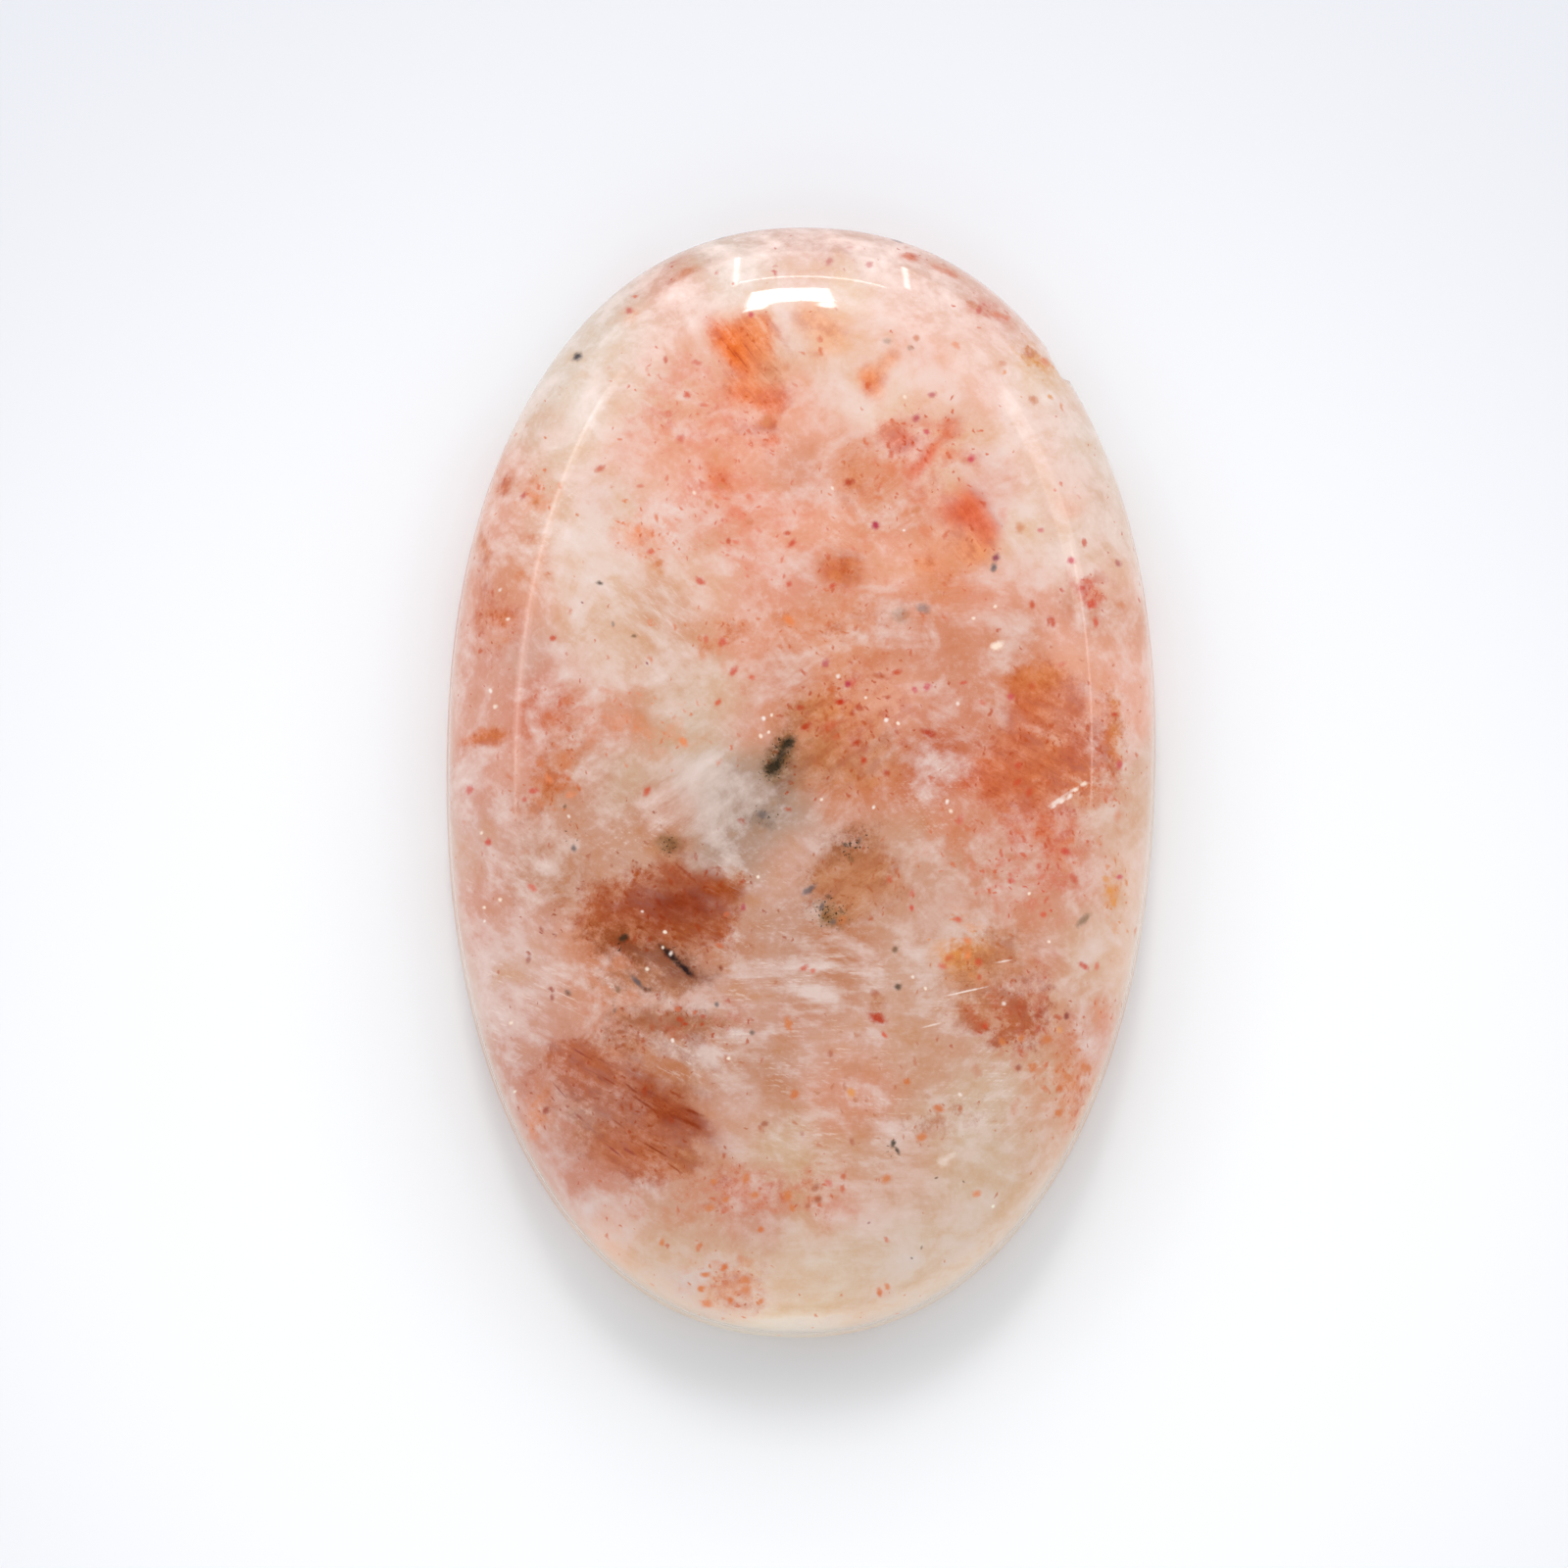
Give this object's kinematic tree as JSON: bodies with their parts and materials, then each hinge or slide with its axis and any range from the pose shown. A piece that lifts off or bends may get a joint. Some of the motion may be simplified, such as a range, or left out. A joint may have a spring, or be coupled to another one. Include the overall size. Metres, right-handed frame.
{
  "type": "sunstone cabochon",
  "caption": "Polished oval sunstone cabochon with a flat back, a short girdle and a low, rounded dome.",
  "frame": {"origin": "middle of the flat back, which the stone lies on", "axes": "+Z out of the back through the top of the dome, +Y along the long axis towards the slightly wider end, X across the stone"},
  "size_m": [0.028, 0.044, 0.007],
  "materials": {
    "sunstone": "polished, milky pink to cream feldspar with orange and rust flecks and dark inclusions"
  },
  "bodies": {
    "root": {"cabochon": "sunstone"}
  },
  "joints": []
}
